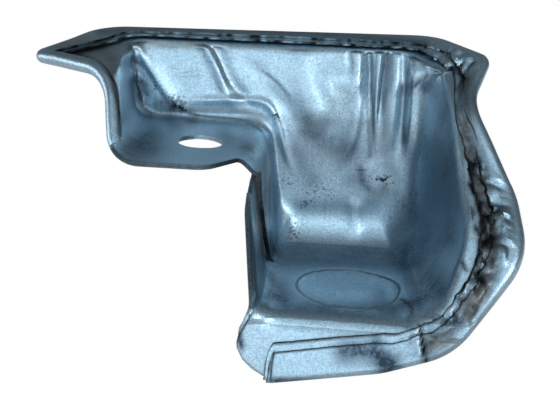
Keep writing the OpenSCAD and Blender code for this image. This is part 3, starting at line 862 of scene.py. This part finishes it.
def marks(points, hem_from, seed):
    """The painted values of one ply by name, with painted shade lines along its free and torn edges."""
    # Painted shade lines: along the free edges, broken into bits at the top and the lip, and along the
    # torn edge, the gap beside it and the hem's cut ends.
    shade_line = paint(points, SHADE_LINES)
    bits = np.clip(0.55 + 0.8 * noise_at(rim_point, 1.6, seed + 4), 0.05, 1)
    shade_line[:, last_row] = np.where(places > 2, 1, bits)
    torn = (places > TAB_TOP - HAIR) & (places < TEAR_END - HAIR)
    shade_line[torn, tear_row] = 0.35 * smooth((3.9 - places[torn]) / 0.2)
    shade_line[np.argmax(places > hem_from), rim_row + 3 :] = 0.9
    gap = smooth((3.75 - places[torn]) / 0.4)
    for k, share in ((1, 0.9), (2, 0.9), (3, 0.8), (4, 0.4)):
        shade_line[torn, tear_row + k] = share * gap
    shade_line[(places > HEM_LEFT) & (places < HEM_CUT), rim_row] = 0.6
    shade_line[:, last_row - 1] = 0.65 * (places > 2)
    values = {"tarnish_and_shade": paint(points, TARNISH_AND_SHADE), "brown_stain_and_reflection": paint(points, BROWN_STAIN_AND_REFLECTION)}
    return values | {"shade_line": shade_line, "specks": paint(points, SPECKS)}


print("tarnished share of the sheet:", paint(sheet, TARNISH_AND_SHADE).mean().round(2))

# %% [markdown]
# ## The two plies
# Each ply is pressed from its own blank and drilled: the faces inside the bolt hole are dropped,
# and the vertices round it are slid onto the circle. Extruding all of its faces down into the metal
# gives it its thickness, and also walls its edges, so the ply is closed. Edges of more than 50
# degrees are marked sharp, so that the cut edges stay crisp in smooth shading.

# %% Ply
NEAR_HOLE, SHELF_REACH = 1.2, 2
SHARP = math.radians(50)
INNER_CUT = 4.105


def drill(bm):
    """Opens the bolt hole in the flat shelf and slides its edge onto the true circle."""
    inside = []
    for f in bm.faces:
        m = f.calc_center_median()
        if math.hypot(m.x, m.y) < HOLE_R and abs(m.z) < SHELF_REACH:
            inside.append(f)
    bmesh.ops.delete(bm, geom=inside, context="FACES")
    for v in bm.verts:
        far = math.hypot(v.co.x, v.co.y)
        if v.is_boundary and far < HOLE_R + NEAR_HOLE and abs(v.co.z) < SHELF_REACH:
            v.co.x, v.co.y = v.co.x * HOLE_R / far, v.co.y * HOLE_R / far


def face_open_side(bm, depth):
    """Turns all normals to the open side, which is up on the shelf."""
    bmesh.ops.recalc_face_normals(bm, faces=bm.faces)
    bm.normal_update()
    on_shelf = Vector((8, 0, -depth))
    shelf = min(bm.faces, key=lambda f: (f.calc_center_median() - on_shelf).length)
    if shelf.normal.z < 0:
        bmesh.ops.reverse_faces(bm, faces=bm.faces)
        bm.normal_update()


def thicken(bm):
    """Extrudes every face down into the metal by the thickness of the ply."""
    keys, inward = bm.verts.layers.int.new("key"), []
    for k, v in enumerate(bm.verts):
        v[keys] = k
        inward.append(-v.normal * PLY)
    made = bmesh.ops.extrude_face_region(bm, geom=list(bm.faces), use_keep_orig=True)
    for v in made["geom"]:
        if isinstance(v, bmesh.types.BMVert):
            v.co += inward[v[keys]]
    bmesh.ops.recalc_face_normals(bm, faces=bm.faces)


def make_ply(name, depth, hem_from, seed):
    points = ply_points(depth, seed, hem_from)
    bm = press(points, hem_from)
    values = marks(points, hem_from, seed)
    layers = {label: bm.verts.layers.float.new(label) for label in values}
    for v, c, r in placed(bm):
        for label, layer in layers.items():
            v[layer] = values[label][c, r]
    drill(bm)
    face_open_side(bm, depth)
    thicken(bm)
    bmesh.ops.scale(bm, vec=(MM, MM, MM), verts=bm.verts)
    for e in bm.edges:
        e.smooth = not (e.is_manifold and e.calc_face_angle(0) > SHARP)
    for f in bm.faces:
        f.smooth = True
    mesh = bpy.data.meshes.new(name)
    bm.to_mesh(mesh)
    bm.free()
    print(name, "has", sum(len(p.vertices) - 2 for p in mesh.polygons), "triangles")
    return put_in(name, mesh)


inner = make_ply("inner_ply", 0, INNER_CUT, 3)
outer = make_ply("outer_ply", PLY + PLY_GAP, HEM_CUT, 5)

# %% [markdown]
# ## Where the plies belong
# Each ply takes the place of one imported solid and rides on the only body there is, since
# nothing moves on a heat shield.

# %% Place the plies
for piece, node in ((inner, "inner_sheet"), (outer, "outer_sheet")):
    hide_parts(node)
    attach(piece, "root")
    print(piece.name, "stands for", node)

# %% [markdown]
# ## A small helper for materials
# Sums in a material are hard to read when each one is a node made by hand. This class wraps one
# output socket, so that a plus or a times adds its Math node. The reflected forms let a number
# stand on the left, as in `1 - mask`. Every other node comes from the method `node`: its type
# without the word ShaderNode, its settings, then the values or wires of its sockets.


# %% Shader helper
class Wire:
    """A value inside a material. Without a socket it only starts new nodes."""

    def __init__(self, tree, socket=None):
        self.tree, self.socket = tree, socket

    def node(self, kind, settings=(), inputs=(), out=0):
        made = self.tree.nodes.new("ShaderNode" + kind)
        for key, value in dict(settings).items():
            setattr(made, key, value)
        for key, value in dict(inputs).items():
            if isinstance(value, Wire):
                self.tree.links.new(value.socket, made.inputs[key])
            else:
                made.inputs[key].default_value = value
        return Wire(self.tree, made.outputs[out]) if len(made.outputs) else made

    def math(self, operation, *values):
        pairs = list(enumerate((self,) + values))
        return self.node("Math", {"operation": operation}, pairs)

    def __add__(self, other):
        return self.math("ADD", other)

    def __mul__(self, other):
        return self.math("MULTIPLY", other)

    def __sub__(self, other):
        return self.math("SUBTRACT", other)

    def __rsub__(self, other):
        return (self * -1) + other

    def clamp(self):
        return self.node("Clamp", {}, [(0, self)])

    __radd__, __rmul__ = __add__, __mul__


def new_material(name):
    """An empty material, and a wire to start its nodes from."""
    material = bpy.data.materials.new(name)
    material.use_nodes = True
    material.node_tree.nodes.clear()
    return material, Wire(material.node_tree)


steel, wire = new_material("aluminised_steel")
print("new material", steel.name)

# %% [markdown]
# ## Grain of the metal
# All patterns read Object coordinates, which are metres here, so a scale of 1500 gives lumps of
# under a millimetre. Three noises make the clouds, mottle and grain of hot-dipped aluminium. A
# fourth is drawn out upwards by a Mapping node and gives the faint streaks of the press. The cells
# of a Voronoi texture place the specks.

# %% Metal grain
where = wire.node("TexCoord", out="Object")


def speckle(scale, detail, rough=0.5, vector=where):
    """A noise with lumps of about one metre divided by the scale."""
    sockets = [("Vector", vector), ("Scale", scale), ("Detail", detail), ("Roughness", rough)]
    return wire.node("TexNoise", {}, sockets)


mottle, cloud = speckle(1500.0, 3.0, 0.65), speckle(160.0, 5.0, 0.6)
upwards = wire.node("Mapping", {"vector_type": "TEXTURE"}, [(0, where), (3, (1, 1, 14))])
streak, grain = speckle(1800.0, 2.0, vector=upwards), speckle(4200.0, 2.0)
dots = wire.node("TexVoronoi", {}, [("Vector", where), ("Scale", 1250.0)])
print("textures:", sum(n.type.startswith("TEX_") for n in steel.node_tree.nodes))

# %% [markdown]
# ## Clean, darkened and brown metal
# The painted attributes say where the dirt and the painted shade are, and the noises break them up.
# A metal's base colour is the colour of its reflection: pale blue where it is clean, dark where the
# dark strokes lie, which are partly tarnish and partly painted shade and painted dark reflection, and
# a dull brown that is partly a stain and partly a painted warm reflection.

# %% Colours of the metal
# The dark colour is for tarnish and painted shade, the brown one for a stain and a painted warm
# reflection, the black one for specks and painted shade lines.
DARK_CLEAN, PALE_CLEAN = (0.355, 0.49, 0.59, 1), (0.62, 0.81, 0.93, 1)
TARNISH_AND_SHADE_COLOUR, WARM_BROWN, SPECK_AND_SHADE_BLACK = (0.035, 0.065, 0.1, 1), (0.19, 0.175, 0.155, 1), (0.012, 0.014, 0.016, 1)


def painted(label):
    return wire.node("Attribute", {"attribute_name": label}, (), "Fac")


def blend(share, one, other):
    pairs = [(0, share), (6, one), (7, other)]
    return wire.node("Mix", {"data_type": "RGBA"}, pairs, 2)


# Read back: the dark strokes (tarnish and painted shade), the brown strokes (stain and painted warm
# reflection) and the painted shade lines.
tarnish_and_shade, brown_share, shade_line = painted("tarnish_and_shade"), painted("brown_stain_and_reflection"), painted("shade_line")
specks = ((0.3 - dots) * 8 + (cloud - 0.52) * 16).clamp() * painted("specks")
dirt_and_shade = tarnish_and_shade * 1.1 + (cloud - 0.5) * 2.6 * tarnish_and_shade * tarnish_and_shade + (mottle - 0.5) * (tarnish_and_shade + 0.25)
dirt_and_shade = (dirt_and_shade + (streak - 0.5) * 0.25).clamp()
clean = blend((mottle * 2 + grain * 2.6 - 1.8).clamp(), DARK_CLEAN, PALE_CLEAN)
metal = blend((brown_share * (cloud + 0.4)).clamp(), blend(dirt_and_shade, clean, TARNISH_AND_SHADE_COLOUR), WARM_BROWN)
print("nodes so far:", len(steel.node_tree.nodes))

# %% [markdown]
# ## Rim of the dish
# The grid is too coarse for the sharp step round the dish. The dish itself is pressed into the
# mesh, and only its crisp edge is a bump and a thin line of painted shade in its corner: both come
# from the distance to its middle, on the floor's level only.

# %% Edge of the dish
DISH_SHADE_SHARE, STEP_DEPTH = 0.7, 0.0005
dish_centre = (dish_x * MM, -DISH_FORWARD * MM, floor_z * MM)


def vector(operation, *values, out=0):
    return wire.node("VectorMath", {"operation": operation}, enumerate(values), out)


from_centre = vector("SUBTRACT", where, dish_centre)
ring = vector("LENGTH", vector("MULTIPLY", from_centre, (1, 1, 0)), out=1)
above = wire.node("SeparateXYZ", (), [(0, from_centre)], 2)
by_floor = (2 - above.math("ABSOLUTE") * 1000).clamp()
past = (ring - DISH_D / 2 * MM) * 1000
step = (past * 1.6 + 0.5).clamp() * by_floor
# A thin ring of painted shade in the corner of the dish's edge.
dish_shade_line = (1 - past.math("ABSOLUTE") * 2.6).clamp() * by_floor
print("dish of", DISH_D, "mm at x", round(dish_x, 1), "mm")

# %% [markdown]
# ## The steel
# Everything black comes last: the painted shade lines, the specks of dirt and the painted shade
# line round the dish. The dark strokes, dirt and painted shade alike, also roughen the metal a
# little. A thin rough coat gives the soft second highlight of a surface that was oiled.

# %% Steel
black_specks_and_shade = (shade_line * (mottle + 0.7) + specks + dish_shade_line * DISH_SHADE_SHARE * (cloud + 0.2)).clamp()
dish_edge = [("Height", step), ("Strength", 0.7), ("Distance", STEP_DEPTH)]
bump = wire.node("Bump", {}, dish_edge)
fine = [("Height", mottle * 0.5 + grain * 0.5), ("Strength", 0.4), ("Distance", 0.0002), ("Normal", bump)]
sockets = {
    "Base Color": blend(black_specks_and_shade, metal, SPECK_AND_SHADE_BLACK),
    "Metallic": 1.0,
    "Roughness": cloud * 0.16 + dirt_and_shade * 0.12 + 0.27,
    "Normal": wire.node("Bump", {}, fine),
    "Coat Weight": 0.25,
    "Coat Roughness": 0.2,
}
surface = wire.node("BsdfPrincipled", {}, sockets)
wire.node("OutputMaterial", {}, [("Surface", surface)])
for piece in (inner, outer):
    piece.data.materials.append(steel)
print("steel has", len(steel.node_tree.nodes), "nodes")

# %% [markdown]
# ## Floor
# The photograph's background is plain white. So the floor shines white for the camera, a third of
# that for reflections, and is a plain pale floor for all other light. A little of the plain floor
# stays mixed in, which keeps the shadow.

# %% Floor
FLOOR_HALF, UNDER, GLOW = 4, 0.0005, 1.03
TO_CAMERA, TO_METAL = 0.96, 0.34
low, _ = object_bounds()
bm = bmesh.new()
bmesh.ops.create_grid(bm, x_segments=1, y_segments=1, size=FLOOR_HALF)
bmesh.ops.translate(bm, verts=bm.verts, vec=(0, 0, low.z - UNDER))
mesh = bpy.data.meshes.new("floor")
bm.to_mesh(mesh)
bm.free()
floor = put_in("floor", mesh)
white_floor, wire = new_material("floor_white")
rays = [wire.node("LightPath", out=f"Is {kind} Ray") for kind in ("Camera", "Glossy", "Transmission")]
camera_ray, gloss_ray, glass_ray = rays
shown = (camera_ray + (gloss_ray + glass_ray) * TO_METAL).clamp() * TO_CAMERA
pale = wire.node("BsdfDiffuse", {}, [("Color", (0.8, 0.8, 0.8, 1))])
glow = wire.node("Emission", {}, [("Color", (1, 1, 1, 1)), ("Strength", GLOW)])
mixed = wire.node("MixShader", {}, [(0, shown), (1, pale), (2, glow)])
wire.node("OutputMaterial", {}, [("Surface", mixed)])
mesh.materials.append(white_floor)
print("floor at", round(low.z - UNDER, 4), "m")

# %% [markdown]
# ## World
# Behind the floor the camera sees white as well. The light that the world gives is a dim grey
# ceiling, because bare metal shows whatever is above it.

# %% World
CEILING, CEILING_STRENGTH = (0.36, 0.42, 0.46, 1), 0.36
world = bpy.data.worlds.new("studio")
scene.world = world
world.use_nodes = True
world.node_tree.nodes.clear()
wire = Wire(world.node_tree)
ceiling = wire.node("Background", {}, [("Color", CEILING), ("Strength", CEILING_STRENGTH)])
white = wire.node("Background", {}, [("Color", (1, 1, 1, 1)), ("Strength", 1.0)])
camera_ray = wire.node("LightPath", out="Is Camera Ray")
mixed = wire.node("MixShader", {}, [(0, camera_ray), (1, ceiling), (2, white)])
wire.node("OutputWorld", {}, [("Surface", mixed)])
print("world", world.name)

# %% [markdown]
# ## Lamps
# Bare metal shows the shape of every lamp, so wide soft boxes stand one above the other in front,
# with no gap that would show as a dark stripe. One hangs over the flanges, one lights the lip from
# the left, and a small lamp at the right gives the two bright spots at the foot of the back wall.
# Each row holds place, aim, width and height, watts and colour.

# %% Lamps
AIM = (0.015, 0, -0.01)
COOL, SOFT_COOL, NEAR_WHITE = (0.75, 0.9, 1), (0.85, 0.95, 1), (0.9, 0.97, 1)
LAMPS = {
    "front_softbox": ((-0.06, -0.75, 0.1), (-0.06, 0, 0.06), (1.1, 0.26), 1.3, COOL),
    "upper_softbox": ((-0.06, -0.62, 0.4), AIM, (1.1, 0.48), 1.1, COOL),
    "top_softbox": ((0.05, -0.33, 0.7), AIM, (1.2, 0.5), 0.4, SOFT_COOL),
    "left_softbox": ((-0.75, -0.05, 0.07), (0, 0, 0), (0.5, 0.26), 1.0, SOFT_COOL),
    "side_lamp": ((0.38, -0.55, 0.2), AIM, (0.05, 0.05), 0.8, NEAR_WHITE),
}
for name, (place, aim, size, watts, colour) in LAMPS.items():
    data = bpy.data.lights.new(name, "AREA")
    data.shape, data.size, data.size_y = "RECTANGLE", size[0], size[1]
    data.energy, data.color = watts, colour
    lamp = put_in(name, data)
    lamp.location = place
    lamp.rotation_euler = (Vector(aim) - Vector(place)).to_track_quat("-Z", "Y").to_euler()
print(len(LAMPS), "lamps of", round(sum(row[3] for row in LAMPS.values()), 1), "W in all")
